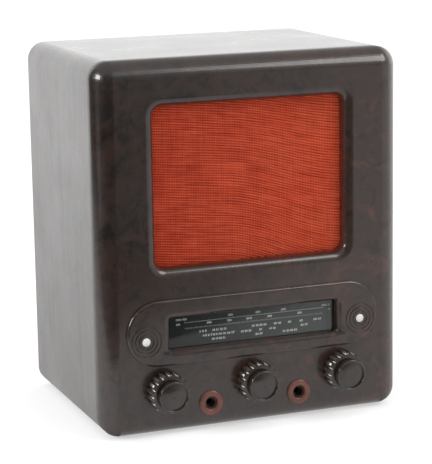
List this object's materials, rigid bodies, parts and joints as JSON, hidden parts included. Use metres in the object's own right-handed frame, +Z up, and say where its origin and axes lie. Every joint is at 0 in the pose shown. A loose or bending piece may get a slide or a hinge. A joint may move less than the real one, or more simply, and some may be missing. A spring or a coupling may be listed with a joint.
{
  "type": "radio receiver",
  "caption": "Table radio receiver in a tall moulded phenolic cabinet with cloth-covered speaker window, long rounded dial, fluted knobs, front sockets, and a working cord-driven tuning scale.",
  "frame": {"origin": "on the table under the middle of the receiver's bounding box", "axes": "+Z up, the front with its knobs looks towards -Y, +X to the right as seen from the front"},
  "size_m": [0.31, 0.249, 0.363],
  "materials": {
    "bakelite": "gloss, faintly mottled",
    "knob_bakelite": "gloss",
    "felt": "felt",
    "fibreboard": "pressed",
    "screw_steel": "plain",
    "white_plastic": "gloss",
    "clear_glass": "polished",
    "zinc_sheet": "zinc plated",
    "scale_print": "printed, satin",
    "brass": "machined",
    "lamp_glass": "polished",
    "bright_steel": "ground",
    "cord": "braided",
    "pointer_red": "satin",
    "aluminium": "rolled",
    "ceramic": "glazed",
    "red_phenolic": "satin",
    "dark_phenolic": "satin",
    "speaker_cloth": "woven",
    "plywood": "raw",
    "gasket_card": "pressed",
    "basket_paint": "satin",
    "cone_paper": "felted",
    "copper_wire": "enamelled",
    "magnet_steel": "cast",
    "core_steel": "laminated",
    "winding_paper": "waxed",
    "chassis_paint": "semi-gloss",
    "rubber": "matt"
  },
  "bodies": {
    "case": {"cabinet_shell": "bakelite", "felt_feet": "felt", "back_cover": "fibreboard", "back_cover_screws": "screw_steel", "dial_escutcheon": "bakelite", "escutcheon_buttons": "white_plastic", "dial_glass": "clear_glass", "glass_frame": "zinc_sheet", "scale_plate": "scale_print", "dial_bracket": "zinc_sheet", "dial_lamps": "lamp_glass", "lamp_holders": "brass", "pointer_rail": "bright_steel", "drive_cord": "cord", "tuning_bush": "brass", "volume_control": "dark_phenolic", "range_switch": "dark_phenolic", "panel_nuts": "brass", "capacitor_frame": "zinc_sheet", "capacitor_insulators": "ceramic", "fixed_vanes": "aluminium", "socket_rings": "red_phenolic", "socket_bushes": "bright_steel", "socket_blocks": "dark_phenolic", "speaker_cloth": "speaker_cloth", "baffle_board": "plywood", "front_screws": "screw_steel", "speaker_gasket": "gasket_card", "speaker_basket": "basket_paint", "speaker_cone": "cone_paper", "speaker_dust_cap": "cone_paper", "voice_coil": "copper_wire", "speaker_magnet": "magnet_steel", "speaker_bolts": "screw_steel", "chassis_tray": "chassis_paint", "chassis_bolts": "screw_steel", "mains_transformer": "core_steel", "mains_winding": "winding_paper", "output_transformer": "core_steel", "output_winding": "winding_paper", "valve_sockets": "dark_phenolic", "valve_bases": "dark_phenolic", "valve_bulbs": "clear_glass", "valve_anodes": "screw_steel", "smoothing_can": "aluminium", "coil_cans": "aluminium", "aerial_strip": "dark_phenolic", "aerial_sockets": "brass", "mains_grommet": "rubber"},
    "tuning_group": {"tuning_drum": "aluminium", "moving_vanes": "aluminium"},
    "spindle": {"tuning_spindle": "bright_steel", "tuning_knob": "knob_bakelite"},
    "pointer": {"dial_pointer": "pointer_red"},
    "left_pulley": {"idler_left": "brass"},
    "right_pulley": {"idler_right": "brass"},
    "volume": {"volume_knob": "knob_bakelite", "volume_shaft": "bright_steel"},
    "range": {"range_knob": "knob_bakelite", "range_shaft": "bright_steel"}
  },
  "joints": [
    {"name": "tuning", "type": "hinge", "parent": "case", "child": "tuning_group", "pos_m": [0, -0.0739, 0.102], "axis": [0, 1, 0], "range_deg": [-180, 0]},
    {"name": "pointer_slide", "type": "slide", "parent": "case", "child": "pointer", "axis": [1, 0, 0], "range_m": [-0.151, 0.0001]},
    {"name": "left_pulley_turn", "type": "hinge", "parent": "case", "child": "left_pulley", "pos_m": [-0.0982, -0.0823, 0.126], "axis": [0, 1, 0], "range_deg": [-1081, 1]},
    {"name": "right_pulley_turn", "type": "hinge", "parent": "case", "child": "right_pulley", "pos_m": [0.0982, -0.0823, 0.126], "axis": [0, 1, 0], "range_deg": [-1081, 1]},
    {"name": "tuning_knob_turn", "type": "hinge", "parent": "case", "child": "spindle", "pos_m": [0, -0.0995, 0.045], "axis": [0, 1, 0], "range_deg": [-1, 1873]},
    {"name": "volume_turn", "type": "hinge", "parent": "case", "child": "volume", "pos_m": [-0.0925, -0.0995, 0.045], "axis": [0, 1, 0], "range_deg": [0, 270]},
    {"name": "range_turn", "type": "hinge", "parent": "case", "child": "range", "pos_m": [0.0925, -0.0995, 0.045], "axis": [0, 1, 0], "range_deg": [-30, 30]}
  ],
  "couplings": [
    {"joint": "pointer_slide", "follows": "tuning", "m_per_rad": 0.048},
    {"joint": "left_pulley_turn", "follows": "tuning", "ratio": 6},
    {"joint": "right_pulley_turn", "follows": "tuning", "ratio": 6},
    {"joint": "tuning_knob_turn", "follows": "tuning", "ratio": -10.4}
  ]
}
